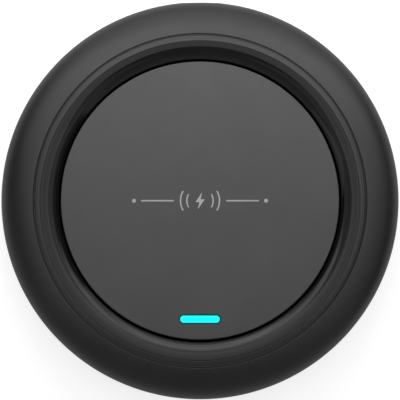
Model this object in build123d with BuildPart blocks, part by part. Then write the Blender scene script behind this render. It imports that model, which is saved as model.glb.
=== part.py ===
from build123d import *

import os
from math import asin, degrees, radians, sqrt, tan

# Round desk-top wireless charging pad, an assembly of separate pieces.
# Millimetres, +Z up. The origin is the centre of the plane that the feet stand on.
# +Y is the back, with the USB-C port. -Y is the front, with the indicator light.

os.makedirs("parts", exist_ok=True)

# ---------------------------------------------------------------- driving dimensions

# Whole pad
pad_diameter = 100.0
pad_height = 14.0
equator_height = 7.1

# Feet and the floor of the base cover
foot_proud = 0.8
foot_recess_depth = 0.8
foot_circle_radius = 39.5
foot_width = 4.4
foot_sweep = 52.0
foot_clearance = 0.15
foot_edge_radius = 0.3
foot_adhesive_thickness = 0.1
base_floor_thickness = 1.8

# Seam between the base cover and the outer shell
seam_above_floor = 0.4
seam_reveal = 0.3
lip_height = 1.5
lip_thickness = 1.3
lip_clearance = 0.1
lip_notch_overcut = 1.3

# Outer shell
shell_wall = 1.9
skirt_wall = 1.8
side_width = 5.0
crown_inset = 3.45
mouth_edge_radius = 0.15
flange_thickness = 1.6

# Charging disc
disc_diameter = 69.9
disc_thickness = 1.5
disc_edge_chamfer = 0.12
dish_depth = 1.8
disc_adhesive_thickness = 0.15
disc_adhesive_inset = 0.2

# Trim ring round the disc
disc_gap = 0.6
flank_width = 4.35
flank_radius = 5.9
crest_land = 0.25
trim_leg_thickness = 2.05
ledge_width = 2.35
ledge_thickness = 1.15
trim_leg_clearance = 0.15
snap_count = 6
snap_reach = 0.5
snap_length = 5.0
snap_height = 0.5
snap_clearance = 0.05

# Retaining ring round the trim ring
ring_width = 1.75
ring_slope = 10.0
ring_step = 0.1
ring_step_inset = 0.75
ring_edge_chamfer = 0.5
ring_seam = 0.1
ring_seat_depth = 1.45
groove_width = 0.06
rebate_width = 0.8
rebate_height = 0.9

# Indicator light
light_length = 10.0
light_width = 1.85
light_from_disc_edge = 5.18
light_slot_clearance = 0.33
light_flange_overhang = 1.0
light_flange_thickness = 0.8
light_leg_inset = 0.1
led_height = 0.7
led_air_gap = 0.3
gasket_wall = 0.8
gasket_clearance = 0.1

# Coil, ferrite and their carrier
coil_inner_radius = 10.25
wire_diameter = 1.0
turn_gap = 0.075
coil_headroom = 0.15
coil_adhesive_thickness = 0.15
ferrite_margin = 3.0
ferrite_thickness = 0.8
ferrite_adhesive_thickness = 0.1
carrier_floor = 0.9
carrier_rim = 1.4
carrier_light_clearance = 1.0
ferrite_clearance = 0.2
carrier_hole_radius = 2.0
lead_bend_radius = 0.9
lead_straight = 0.1
lead_hole_clearance = 0.2
adhesive_hole_clearance = 0.6

# Temperature sensor on the underside of the disc
sensor_radius = 1.1
sensor_height = 1.1
sensor_wire_radius = 0.2
sensor_wire_spacing = 1.2

# Board
board_standoff = 0.8
board_radius = 31.2
board_thickness = 1.0
tongue_width = 14.0
tongue_setback = 2.1

# USB-C receptacle
receptacle_width = 8.94
receptacle_height = 3.16
receptacle_length = 7.35
receptacle_wall = 0.3
receptacle_block_length = 1.2
port_recess = 0.8
port_clearance = 0.2
port_pocket_clearance = 0.4
port_wall = 2.0
tongue_plate_width = 6.69
tongue_plate_thickness = 0.6
tongue_plate_setback = 1.0
contact_pitch = 0.5
contact_width = 0.25
contact_length = 3.4
contact_thickness = 0.05
contacts_per_side = 12
leg_width = 1.1
leg_spacing = 4.2
leg_below_board = 0.3
leg_slot_clearance = 0.15

# Screws: M2 in plastic, three sets
screw_radius = 1.0
screw_hole_clearance = 0.15
screw_head_radius = 1.9
screw_head_clearance = 0.2
screw_head_height = 1.3
low_head_height = 0.8
screw_tip_room = 0.4
drive_size = 0.65
drive_depth = 0.5
case_screw_length = 6.5
case_screw_circle = 41.5
case_screw_count = 4
case_screw_angle = 45.0
case_head_sink = 0.1
case_boss_radius = 2.3
case_pad_radius = 2.9
case_pad_height = 0.8
board_screw_length = 2.8
board_screw_circle = 26.0
board_screw_count = 3
board_screw_angle = 60.0
board_post_radius = 2.2
carrier_screw_length = 4.5
carrier_screw_count = 3
carrier_screw_angle = 0.0
carrier_post_radius = 2.0
carrier_post_clearance = 0.4

# Blank rating label under the base
label_radius = 18.0
label_thickness = 0.15
label_clearance = 0.2
label_sink = 0.05

# ---------------------------------------------------------------- derived levels (z)

base_bottom_z = foot_proud
base_top_z = base_bottom_z + base_floor_thickness
seam_z = base_top_z + seam_above_floor
rim_top_z = seam_z - seam_reveal
lip_top_z = rim_top_z + lip_height
board_bottom_z = base_top_z + board_standoff
board_top_z = board_bottom_z + board_thickness
port_z = board_top_z + receptacle_height / 2
equator_z = equator_height
case_pad_top_z = base_top_z + case_pad_height

crest_z = pad_height
disc_top_z = crest_z - dish_depth
disc_bottom_z = disc_top_z - disc_thickness
ledge_top_z = disc_bottom_z - disc_adhesive_thickness
ledge_bottom_z = ledge_top_z - ledge_thickness
coil_z = disc_bottom_z - coil_headroom - wire_diameter / 2
coil_bottom_z = coil_z - wire_diameter / 2
ferrite_top_z = coil_bottom_z - coil_adhesive_thickness
ferrite_bottom_z = ferrite_top_z - ferrite_thickness
carrier_floor_z = ferrite_bottom_z - ferrite_adhesive_thickness
carrier_bottom_z = carrier_floor_z - carrier_floor

# ---------------------------------------------------------------- derived radii

pad_radius = pad_diameter / 2
disc_radius = disc_diameter / 2
trim_inner_radius = disc_radius + disc_gap
crest_radius = trim_inner_radius + flank_width
crease_radius = crest_radius + crest_land
ring_inner_radius = crease_radius + ring_seam
ring_step_radius = crease_radius + ring_step_inset
ring_outer_radius = crease_radius + ring_width
rebate_radius = crease_radius + rebate_width
shell_mouth_radius = ring_outer_radius + groove_width
trim_leg_radius = trim_inner_radius + trim_leg_thickness
flange_bore_radius = trim_leg_radius + trim_leg_clearance
ledge_inner_radius = disc_radius - ledge_width

# The trim ring has a round flank up to the crest. The retaining ring slopes outwards from
# there with one fine step in it. Its outer edge is chamfered down to the shell's mouth.
flank_foot_z = crest_z - flank_radius + sqrt(flank_radius**2 - flank_width**2)
crease_z = crest_z - flank_radius + sqrt(flank_radius**2 - crest_land**2)
ring_fall = tan(radians(ring_slope))
ring_top_z = crease_z - ring_seam * ring_fall
ring_step_z = crease_z - ring_step_inset * ring_fall
ring_edge_z = crease_z - ring_width * ring_fall - ring_step
shell_mouth_z = ring_edge_z - ring_edge_chamfer - groove_width * ring_fall
flange_top_z = shell_mouth_z - ring_seat_depth
flange_bottom_z = flange_top_z - flange_thickness
rebate_top_z = flange_top_z + rebate_height

# The shell's crown is a quarter ellipse from its mouth to the widest point, and the side
# below that is another, shared with the base cover.
crown_centre_radius = shell_mouth_radius - crown_inset
crown_width = pad_radius - crown_centre_radius
crown_rise = (shell_mouth_z - equator_z) / sqrt(1 - (crown_inset / crown_width) ** 2)
inner_crown_width = crown_width - shell_wall
inner_crown_rise = crown_rise - shell_wall
side_centre_radius = pad_radius - side_width
side_drop = equator_z - base_bottom_z


def ellipse_angle(height, half_height):
    """Parameter, in degrees, of an ellipse's point at a height above its centre."""
    return degrees(asin(height / half_height))


mouth_angle = ellipse_angle(shell_mouth_z - equator_z, crown_rise)
flange_angle = ellipse_angle(flange_bottom_z - equator_z, inner_crown_rise)
seam_angle = ellipse_angle(equator_z - seam_z, side_drop)
rim_angle = ellipse_angle(equator_z - rim_top_z, side_drop)
skirt_outer_radius = side_centre_radius + side_width * sqrt(1 - ((equator_z - seam_z) / side_drop) ** 2)
skirt_inner_radius = skirt_outer_radius - skirt_wall
lip_outer_radius = skirt_inner_radius - lip_clearance
lip_inner_radius = lip_outer_radius - lip_thickness

light_y = -(disc_radius - light_from_disc_edge)
light_top_z = disc_top_z
light_leg_bottom_z = board_top_z + led_height + led_air_gap
light_flange_bottom_z = disc_bottom_z - light_flange_thickness
light_leg_length = light_length - 2 * light_leg_inset
light_leg_width = light_width - 2 * light_leg_inset
gasket_hole_length = light_leg_length + 2 * gasket_clearance
gasket_hole_width = light_leg_width + 2 * gasket_clearance

# The coil has as many turns as fit inside the light's foam sleeve, with the ferrite's margin
# and the carrier's rim round it.
gasket_inner_radius = -light_y - gasket_hole_width / 2 - gasket_wall
carrier_limit = gasket_inner_radius - carrier_light_clearance
coil_limit = carrier_limit - carrier_rim - ferrite_clearance - ferrite_margin
wire_radius = wire_diameter / 2
turn_pitch = wire_diameter + turn_gap
coil_turns = int((coil_limit - coil_inner_radius - wire_diameter) / turn_pitch)
first_turn_radius = coil_inner_radius + wire_radius
last_turn_radius = first_turn_radius + coil_turns * turn_pitch
coil_outer_radius = last_turn_radius + wire_radius
ferrite_radius = coil_outer_radius + ferrite_margin
carrier_radius = ferrite_radius + ferrite_clearance + carrier_rim
lead_reach = lead_straight + lead_bend_radius
inner_lead_place = (first_turn_radius, -lead_reach)
outer_lead_place = (last_turn_radius, lead_reach)

port_mouth_y = pad_radius - port_recess
port_rear_y = port_mouth_y - receptacle_length
port_mouth_plane = Plane.XZ.offset(-port_mouth_y)
port_outside_plane = Plane.XZ.offset(-pad_radius - port_recess)
tongue_end_y = port_mouth_y - tongue_setback
pocket_wall_y = pad_radius - port_wall
pocket_top_z = board_top_z + receptacle_height + port_pocket_clearance
pocket_width = tongue_width + 2 * port_pocket_clearance
lip_notch_z = board_bottom_z - leg_below_board - leg_slot_clearance
inner_port_width = receptacle_width - 2 * receptacle_wall
inner_port_height = receptacle_height - 2 * receptacle_wall
leg_x = (receptacle_width - receptacle_wall) / 2
leg_middle_y = port_rear_y + receptacle_length / 2 - leg_width
leg_places = [
    (side * leg_x, leg_middle_y + end * leg_spacing / 2)
    for side in (-1, 1)
    for end in (-1, 1)
]

carrier_screw_circle = board_radius + carrier_post_clearance + carrier_post_radius
case_screw_seat_z = base_bottom_z + case_head_sink + screw_head_height
underside = Plane(origin=(0, 0, base_bottom_z), x_dir=(1, 0, 0), z_dir=(0, 0, -1))
foot_sides = ("right", "back", "left", "front")
foot_spacing = 360 / len(foot_sides)
foot_starts = [number * foot_spacing - foot_sweep / 2 for number in range(len(foot_sides))]
foot_recess_z = base_bottom_z + foot_recess_depth
foot_height = foot_recess_z - foot_adhesive_thickness

# ---------------------------------------------------------------- casing

# Outer shell: the crowned ring, with an inner flange that the two inner rings sit on,
# four screw bosses and the opening for the port.
with BuildPart() as outer_shell:
    with BuildSketch(Plane.XZ) as shell_section:
        with BuildLine():
            side = EllipticalCenterArc(
                (side_centre_radius, equator_z), side_width, side_drop,
                start_angle=-seam_angle, arc_size=seam_angle,
            )
            crown = EllipticalCenterArc(
                (crown_centre_radius, equator_z), crown_width, crown_rise,
                start_angle=0, arc_size=mouth_angle,
            )
            inner_crown = EllipticalCenterArc(
                (crown_centre_radius, equator_z), inner_crown_width, inner_crown_rise,
                start_angle=0, arc_size=flange_angle,
            )
            Polyline(
                crown @ 1,
                (shell_mouth_radius, flange_top_z),
                (flange_bore_radius, flange_top_z),
                (flange_bore_radius, flange_bottom_z),
                inner_crown @ 1,
            )
            Polyline(inner_crown @ 0, (skirt_inner_radius, seam_z), side @ 0)
        make_face()
        fillet(shell_section.vertices().sort_by(Axis.Y)[-1], mouth_edge_radius)
    revolve(axis=Axis.Z)
    with BuildSketch(Plane.XY.offset(case_pad_top_z)):
        with PolarLocations(case_screw_circle, case_screw_count, start_angle=case_screw_angle):
            Circle(case_boss_radius)
    extrude(amount=flange_bottom_z + flange_thickness / 2 - case_pad_top_z)
    with Locations(Plane(origin=(0, 0, case_pad_top_z), x_dir=(1, 0, 0), z_dir=(0, 0, -1))):
        with PolarLocations(case_screw_circle, case_screw_count, start_angle=case_screw_angle):
            Hole(screw_radius, depth=case_screw_seat_z + case_screw_length + screw_tip_room - case_pad_top_z)
    with BuildSketch(port_outside_plane):
        with Locations((0, port_z)):
            SlotOverall(receptacle_width + 2 * port_clearance, receptacle_height + 2 * port_clearance)
    extrude(amount=port_recess + port_wall + port_clearance, mode=Mode.SUBTRACT)
    with BuildSketch(Plane.XY.offset(seam_z)):
        with Locations((0, pocket_wall_y)):
            Rectangle(pocket_width, pad_radius - lip_inner_radius, align=(Align.CENTER, Align.MAX))
    extrude(amount=pocket_top_z - seam_z, mode=Mode.SUBTRACT)
outer_shell.part.label = "outer_shell"
export_step(outer_shell.part, "parts/outer_shell.step")

# Trim ring: the dished bezel round the disc. Its ledge carries the disc, its snaps hold
# under the shell's flange, and the retaining ring sits on its rebate.
with BuildPart() as trim_ring:
    with BuildSketch(Plane.XZ):
        with BuildLine():
            flank = RadiusArc((trim_inner_radius, flank_foot_z), (crest_radius, crest_z), flank_radius)
            crest = RadiusArc(flank @ 1, (crease_radius, crease_z), flank_radius)
            Polyline(
                crest @ 1,
                (crease_radius, rebate_top_z),
                (rebate_radius, rebate_top_z),
                (rebate_radius, flange_top_z),
                (trim_leg_radius, flange_top_z),
                (trim_leg_radius, ledge_bottom_z),
                (ledge_inner_radius, ledge_bottom_z),
                (ledge_inner_radius, ledge_top_z),
                (trim_inner_radius, ledge_top_z),
                flank @ 0,
            )
        make_face()
    revolve(axis=Axis.Z)
    with BuildSketch(Plane.XY.offset(flange_bottom_z - snap_clearance)):
        with PolarLocations(trim_leg_radius, snap_count):
            Rectangle(2 * snap_reach, snap_length)
    extrude(amount=-snap_height)
trim_ring.part.label = "trim_ring"
export_step(trim_ring.part, "parts/trim_ring.step")

# Retaining ring: fixed to the shell's flange, with a shoulder over the trim ring's rebate.
with BuildPart() as retaining_ring:
    with BuildSketch(Plane.XZ) as ring_section:
        with BuildLine():
            Polyline(
                (ring_inner_radius, ring_top_z),
                (ring_step_radius, ring_step_z),
                (ring_step_radius + ring_step, ring_step_z - ring_step * (1 + ring_fall)),
                (ring_outer_radius, ring_edge_z),
                (ring_outer_radius, flange_top_z),
                (rebate_radius + ring_seam, flange_top_z),
                (rebate_radius + ring_seam, rebate_top_z),
                (ring_inner_radius, rebate_top_z),
                close=True,
            )
        make_face()
        chamfer(ring_section.vertices().group_by(Axis.X)[-1].sort_by(Axis.Y)[-1], ring_edge_chamfer)
    revolve(axis=Axis.Z)
retaining_ring.part.label = "retaining_ring"
export_step(retaining_ring.part, "parts/retaining_ring.step")

# Charging disc, with the slot for the indicator light.
with BuildPart() as charging_disc:
    with BuildSketch(Plane.XY.offset(disc_bottom_z)):
        Circle(disc_radius)
        with Locations((0, light_y)):
            SlotOverall(
                light_length + 2 * light_slot_clearance,
                light_width + 2 * light_slot_clearance,
                mode=Mode.SUBTRACT,
            )
    extrude(amount=disc_thickness)
    chamfer(charging_disc.edges().group_by(Axis.Z)[-1].sort_by(SortBy.LENGTH)[-1], disc_edge_chamfer)
charging_disc.part.label = "charging_disc"
export_step(charging_disc.part, "parts/charging_disc.step")

# Ring of double-sided tape that holds the disc to the ledge.
with BuildPart() as disc_adhesive:
    with BuildSketch(Plane.XY.offset(ledge_top_z)):
        Circle(disc_radius - disc_adhesive_inset)
        Circle(ledge_inner_radius + disc_adhesive_inset, mode=Mode.SUBTRACT)
    extrude(amount=disc_adhesive_thickness)
disc_adhesive.part.label = "disc_adhesive"
export_step(disc_adhesive.part, "parts/disc_adhesive.step")

# Base cover: the floor, its rim and locating lip, and the posts for board and carrier.
with BuildPart() as base_cover:
    with BuildSketch(Plane.XZ):
        with BuildLine():
            rim = EllipticalCenterArc(
                (side_centre_radius, equator_z), side_width, side_drop,
                start_angle=-90, arc_size=90 - rim_angle,
            )
            Polyline(
                rim @ 1,
                (lip_outer_radius, rim_top_z),
                (lip_outer_radius, lip_top_z),
                (lip_inner_radius, lip_top_z),
                (lip_inner_radius, base_top_z),
                (0, base_top_z),
                (0, base_bottom_z),
                rim @ 0,
            )
        make_face()
    revolve(axis=Axis.Z)
    with BuildSketch(Plane.XY.offset(base_top_z)):
        with PolarLocations(case_screw_circle, case_screw_count, start_angle=case_screw_angle):
            Circle(case_pad_radius)
    extrude(amount=case_pad_height)
    with BuildSketch(Plane.XY.offset(base_top_z)):
        with PolarLocations(board_screw_circle, board_screw_count, start_angle=board_screw_angle):
            Circle(board_post_radius)
    extrude(amount=board_standoff)
    with BuildSketch(Plane.XY.offset(base_top_z)):
        with PolarLocations(carrier_screw_circle, carrier_screw_count, start_angle=carrier_screw_angle):
            Circle(carrier_post_radius)
    extrude(amount=carrier_bottom_z - base_top_z)
    with Locations(underside):
        with PolarLocations(case_screw_circle, case_screw_count, start_angle=case_screw_angle):
            CounterBoreHole(
                radius=screw_radius + screw_hole_clearance,
                counter_bore_radius=screw_head_radius + screw_head_clearance,
                counter_bore_depth=case_screw_seat_z - base_bottom_z,
                depth=case_pad_top_z - base_bottom_z,
            )
    with Locations(Plane.XY.offset(board_bottom_z)):
        with PolarLocations(board_screw_circle, board_screw_count, start_angle=board_screw_angle):
            Hole(screw_radius, depth=board_screw_length - board_thickness)
    with Locations(Plane.XY.offset(carrier_bottom_z)):
        with PolarLocations(carrier_screw_circle, carrier_screw_count, start_angle=carrier_screw_angle):
            Hole(screw_radius, depth=carrier_screw_length - carrier_floor + screw_tip_room)
    with BuildSketch(underside):
        for foot_start in foot_starts:
            foot_arc = CenterArc((0, 0), foot_circle_radius, foot_start, foot_sweep, mode=Mode.PRIVATE)
            SlotArc(foot_arc, foot_width + 2 * foot_clearance)
    extrude(amount=-foot_recess_depth, mode=Mode.SUBTRACT)
    with BuildSketch(underside):
        Circle(label_radius + label_clearance)
    extrude(amount=-label_sink - label_thickness, mode=Mode.SUBTRACT)
    with BuildSketch(Plane.XY.offset(lip_notch_z)):
        with Locations((0, (lip_inner_radius + lip_outer_radius) / 2)):
            Rectangle(pocket_width, lip_thickness + 2 * lip_notch_overcut)
    extrude(amount=lip_top_z - lip_notch_z, mode=Mode.SUBTRACT)
base_cover.part.label = "base_cover"
export_step(base_cover.part, "parts/base_cover.step")

# Four arc-shaped silicone feet, one node each.
for foot_side, foot_start in zip(foot_sides, foot_starts):
    with BuildPart() as foot:
        with BuildSketch(Plane.XY):
            foot_arc = CenterArc((0, 0), foot_circle_radius, foot_start, foot_sweep, mode=Mode.PRIVATE)
            SlotArc(foot_arc, foot_width)
        extrude(amount=foot_height)
        fillet(foot.edges().group_by(Axis.Z)[0], foot_edge_radius)
    foot.part.label = f"foot_{foot_side}"
    export_step(foot.part, f"parts/foot_{foot_side}.step")

# Adhesive between each foot and its recess.
with BuildPart() as foot_adhesives:
    with BuildSketch(Plane.XY.offset(foot_height)):
        for foot_start in foot_starts:
            foot_arc = CenterArc((0, 0), foot_circle_radius, foot_start, foot_sweep, mode=Mode.PRIVATE)
            SlotArc(foot_arc, foot_width)
    extrude(amount=foot_adhesive_thickness)
foot_adhesives.part.label = "foot_adhesives"
export_step(foot_adhesives.part, "parts/foot_adhesives.step")

# Blank rating label in its recess under the base.
with BuildPart() as rating_label:
    with BuildSketch(Plane.XY.offset(base_bottom_z + label_sink)):
        Circle(label_radius)
    extrude(amount=label_thickness)
rating_label.part.label = "rating_label"
export_step(rating_label.part, "parts/rating_label.step")

# ---------------------------------------------------------------- screws

# Each set: seat plane (its normal points at the head), circle, angle, head and shank.
screw_sets = {
    "case_screws": (
        Plane(origin=(0, 0, case_screw_seat_z), x_dir=(1, 0, 0), z_dir=(0, 0, -1)),
        case_screw_circle, case_screw_count, case_screw_angle, screw_head_height, case_screw_length,
    ),
    "board_screws": (
        Plane.XY.offset(board_top_z),
        board_screw_circle, board_screw_count, board_screw_angle, screw_head_height, board_screw_length,
    ),
    "carrier_screws": (
        Plane.XY.offset(carrier_floor_z),
        carrier_screw_circle, carrier_screw_count, carrier_screw_angle, low_head_height, carrier_screw_length,
    ),
}
for set_name, (seat, circle_radius, count, first_angle, head_height, shank_length) in screw_sets.items():
    with BuildPart() as screws:
        with BuildSketch(seat):
            with PolarLocations(circle_radius, count, start_angle=first_angle):
                Circle(screw_head_radius)
        extrude(amount=head_height)
        with BuildSketch(seat):
            with PolarLocations(circle_radius, count, start_angle=first_angle):
                Circle(screw_radius)
        extrude(amount=-shank_length)
        with BuildSketch(seat.offset(head_height)):
            with PolarLocations(circle_radius, count, start_angle=first_angle):
                RegularPolygon(drive_size, 6)
        extrude(amount=-drive_depth, mode=Mode.SUBTRACT)
    screws.part.label = set_name
    export_step(screws.part, f"parts/{set_name}.step")

# ---------------------------------------------------------------- indicator light

# Light guide: its head fills the slot flush with the disc, its flange glues to the disc's
# underside and its leg reaches down to just above the LEDs.
with BuildPart() as light_guide:
    with BuildSketch(Plane.XY.offset(disc_bottom_z)):
        with Locations((0, light_y)):
            SlotOverall(light_length, light_width)
    extrude(amount=light_top_z - disc_bottom_z)
    with BuildSketch(Plane.XY.offset(light_flange_bottom_z)):
        with Locations((0, light_y)):
            SlotOverall(light_length + 2 * light_flange_overhang, light_width + 2 * light_flange_overhang)
    extrude(amount=light_flange_thickness)
    with BuildSketch(Plane.XY.offset(light_leg_bottom_z)):
        with Locations((0, light_y)):
            SlotOverall(light_leg_length, light_leg_width)
    extrude(amount=light_flange_bottom_z - light_leg_bottom_z)
light_guide.part.label = "light_guide"
export_step(light_guide.part, "parts/light_guide.step")

# Foam sleeve that keeps the LEDs' light in the guide.
with BuildPart() as light_gasket:
    with BuildSketch(Plane.XY.offset(board_top_z)):
        with Locations((0, light_y)):
            SlotOverall(gasket_hole_length + 2 * gasket_wall, gasket_hole_width + 2 * gasket_wall)
            SlotOverall(gasket_hole_length, gasket_hole_width, mode=Mode.SUBTRACT)
    extrude(amount=light_flange_bottom_z - board_top_z)
light_gasket.part.label = "light_gasket"
export_step(light_gasket.part, "parts/light_gasket.step")

# ---------------------------------------------------------------- coil module

# Transmitter coil: one flat spiral, drawn as half circles about two centres half a pitch
# apart, so that each runs smoothly into the next.
with BuildPart() as transmitter_coil:
    with BuildLine() as coil_path:
        for turn in range(coil_turns):
            turn_radius = first_turn_radius + turn * turn_pitch
            CenterArc((0, 0, coil_z), turn_radius, 0, 180)
            CenterArc((turn_pitch / 2, 0, coil_z), turn_radius + turn_pitch / 2, 180, 180)
    with BuildSketch(Plane(origin=(first_turn_radius, 0, coil_z), x_dir=(1, 0, 0), z_dir=(0, 1, 0))):
        Circle(wire_radius)
    sweep(path=coil_path.line)
transmitter_coil.part.label = "transmitter_coil"
export_step(transmitter_coil.part, "parts/transmitter_coil.step")

# Coil leads: each bends down from an end of the coil and drops to the board.
with BuildPart() as coil_leads:
    for lead_x, lead_y in (inner_lead_place, outer_lead_place):
        with BuildLine() as lead_path:
            FilletPolyline(
                (lead_x, 0, coil_z),
                (lead_x, lead_y, coil_z),
                (lead_x, lead_y, board_top_z),
                radius=lead_bend_radius,
            )
        with BuildSketch(Plane(origin=(lead_x, 0, coil_z), x_dir=(1, 0, 0), z_dir=(0, lead_y, 0))):
            Circle(wire_radius)
        sweep(path=lead_path.line)
coil_leads.part.label = "coil_leads"
export_step(coil_leads.part, "parts/coil_leads.step")

# Tape between coil and ferrite.
with BuildPart() as coil_adhesive:
    with BuildSketch(Plane.XY.offset(ferrite_top_z)):
        Circle(coil_outer_radius)
        Circle(coil_inner_radius, mode=Mode.SUBTRACT)
        with Locations(inner_lead_place, outer_lead_place):
            Circle(wire_radius + adhesive_hole_clearance, mode=Mode.SUBTRACT)
    extrude(amount=coil_adhesive_thickness)
coil_adhesive.part.label = "coil_adhesive"
export_step(coil_adhesive.part, "parts/coil_adhesive.step")

# Ferrite sheet under the coil, with holes for the leads and the sensor's wires.
with BuildPart() as ferrite_shield:
    with BuildSketch(Plane.XY.offset(ferrite_bottom_z)):
        Circle(ferrite_radius)
        Circle(carrier_hole_radius, mode=Mode.SUBTRACT)
        with Locations(inner_lead_place, outer_lead_place):
            Circle(wire_radius + lead_hole_clearance, mode=Mode.SUBTRACT)
    extrude(amount=ferrite_thickness)
ferrite_shield.part.label = "ferrite_shield"
export_step(ferrite_shield.part, "parts/ferrite_shield.step")

# Tape between ferrite and carrier.
with BuildPart() as ferrite_adhesive:
    with BuildSketch(Plane.XY.offset(carrier_floor_z)):
        Circle(coil_outer_radius)
        Circle(coil_inner_radius, mode=Mode.SUBTRACT)
        with Locations(inner_lead_place, outer_lead_place):
            Circle(wire_radius + adhesive_hole_clearance, mode=Mode.SUBTRACT)
    extrude(amount=ferrite_adhesive_thickness)
ferrite_adhesive.part.label = "ferrite_adhesive"
export_step(ferrite_adhesive.part, "parts/ferrite_adhesive.step")

# Coil carrier: a shallow tray on three ears that are screwed to the base cover's posts.
with BuildPart() as coil_carrier:
    with BuildSketch(Plane.XY.offset(carrier_bottom_z)):
        Circle(carrier_radius)
        with PolarLocations(carrier_screw_circle, carrier_screw_count, start_angle=carrier_screw_angle):
            Circle(carrier_post_radius)
        with PolarLocations(carrier_screw_circle / 2, carrier_screw_count, start_angle=carrier_screw_angle):
            Rectangle(carrier_screw_circle, 2 * carrier_post_radius)
    extrude(amount=carrier_floor)
    with BuildSketch(Plane.XY.offset(carrier_floor_z)):
        Circle(carrier_radius)
        Circle(ferrite_radius + ferrite_clearance, mode=Mode.SUBTRACT)
    extrude(amount=ferrite_top_z - carrier_floor_z)
    with BuildSketch(Plane.XY.offset(carrier_bottom_z)):
        Circle(carrier_hole_radius)
        with Locations(inner_lead_place, outer_lead_place):
            Circle(wire_radius + lead_hole_clearance)
        with PolarLocations(carrier_screw_circle, carrier_screw_count, start_angle=carrier_screw_angle):
            Circle(screw_radius + screw_hole_clearance)
    extrude(amount=carrier_floor, mode=Mode.SUBTRACT)
coil_carrier.part.label = "coil_carrier"
export_step(coil_carrier.part, "parts/coil_carrier.step")

# Temperature sensor against the middle of the disc's underside, and its two wires.
with BuildPart() as temperature_sensor:
    with BuildSketch(Plane.XY.offset(disc_bottom_z)):
        Circle(sensor_radius)
    extrude(amount=-sensor_height)
temperature_sensor.part.label = "temperature_sensor"
export_step(temperature_sensor.part, "parts/temperature_sensor.step")

with BuildPart() as sensor_wires:
    with BuildSketch(Plane.XY.offset(board_top_z)):
        with GridLocations(sensor_wire_spacing, 0, 2, 1):
            Circle(sensor_wire_radius)
    extrude(amount=disc_bottom_z - sensor_height - board_top_z)
sensor_wires.part.label = "sensor_wires"
export_step(sensor_wires.part, "parts/sensor_wires.step")

# ---------------------------------------------------------------- board

# Main board: round, with a tongue that carries the receptacle out to the shell's wall.
with BuildPart() as main_board:
    with BuildSketch(Plane.XY.offset(board_bottom_z)):
        Circle(board_radius)
        Rectangle(tongue_width, tongue_end_y, align=(Align.CENTER, Align.MIN))
        with PolarLocations(board_screw_circle, board_screw_count, start_angle=board_screw_angle):
            Circle(screw_radius + screw_hole_clearance, mode=Mode.SUBTRACT)
        with Locations(*leg_places):
            Rectangle(
                receptacle_wall + 2 * leg_slot_clearance, leg_width + 2 * leg_slot_clearance,
                mode=Mode.SUBTRACT,
            )
    extrude(amount=board_thickness)
main_board.part.label = "main_board"
export_step(main_board.part, "parts/main_board.step")

# Receptacle shell: a formed steel tube with four legs through the board.
with BuildPart() as usb_c_shell:
    with BuildSketch(port_mouth_plane):
        with Locations((0, port_z)):
            SlotOverall(receptacle_width, receptacle_height)
            SlotOverall(inner_port_width, inner_port_height, mode=Mode.SUBTRACT)
    extrude(amount=receptacle_length)
    with BuildSketch(Plane.XY.offset(board_bottom_z - leg_below_board)):
        with Locations(*leg_places):
            Rectangle(receptacle_wall, leg_width)
    extrude(amount=port_z - board_bottom_z + leg_below_board)
usb_c_shell.part.label = "usb_c_shell"
export_step(usb_c_shell.part, "parts/usb_c_shell.step")

# Receptacle insulator: a rear block and the tongue plate that a plug slides over.
with BuildPart() as usb_c_tongue:
    with BuildSketch(Plane.XZ.offset(-port_rear_y)):
        with Locations((0, port_z)):
            SlotOverall(inner_port_width, inner_port_height)
    extrude(amount=-receptacle_block_length)
    with BuildSketch(Plane.XZ.offset(-port_rear_y)):
        with Locations((0, port_z)):
            Rectangle(tongue_plate_width, tongue_plate_thickness)
    extrude(amount=tongue_plate_setback - receptacle_length)
usb_c_tongue.part.label = "usb_c_tongue"
export_step(usb_c_tongue.part, "parts/usb_c_tongue.step")

# Contacts on both faces of the tongue plate.
with BuildPart() as usb_c_contacts:
    for face in (-1, 1):
        with BuildSketch(Plane.XY.offset(port_z + face * tongue_plate_thickness / 2)):
            with Locations((0, port_rear_y + receptacle_block_length + contact_length / 2)):
                with GridLocations(contact_pitch, 0, contacts_per_side, 1):
                    Rectangle(contact_width, contact_length)
        extrude(amount=face * contact_thickness)
usb_c_contacts.part.label = "usb_c_contacts"
export_step(usb_c_contacts.part, "parts/usb_c_contacts.step")

# Surface-mounted components: size (x, y, z), corner chamfer and places on the board.
components = {
    "controller_ic": ((7.0, 7.0, 0.9), 0.1, [(-9.0, 8.0)]),
    "bridge_mosfets": ((3.3, 3.3, 0.8), 0.08, [(10.5, 12.0), (15.5, 12.0), (10.5, 7.0), (15.5, 7.0)]),
    "power_inductor": ((6.0, 6.0, 2.4), 0.4, [(2.0, 19.0)]),
    "resonant_capacitors": ((4.5, 3.2, 2.0), 0.1, [(-9.0, -9.0), (-3.0, -9.0), (-9.0, -14.0), (-3.0, -14.0)]),
    "input_capacitors": ((1.6, 3.2, 1.6), 0.08, [(-4.5, 32.0), (-1.5, 32.0), (1.5, 32.0)]),
    "sense_resistor": ((6.3, 3.2, 0.6), 0.05, [(15.0, -8.0)]),
    "port_protection": ((2.9, 1.6, 1.1), 0.08, [(0.0, 38.5)]),
    "crystal": ((3.2, 2.5, 0.7), 0.08, [(-16.5, 9.0)]),
    "indicator_leds": ((1.6, 0.8, led_height), 0.05, [(-3.0, light_y), (0.0, light_y), (3.0, light_y)]),
}
for component_name, ((length_x, length_y, height), corner, places) in components.items():
    with BuildPart() as component:
        with BuildSketch(Plane.XY.offset(board_top_z)):
            with Locations(*places):
                Rectangle(length_x, length_y)
        extrude(amount=height)
        chamfer(component.edges().group_by(Axis.Z)[-1], corner)
    component.part.label = component_name
    export_step(component.part, f"parts/{component_name}.step")

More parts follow.
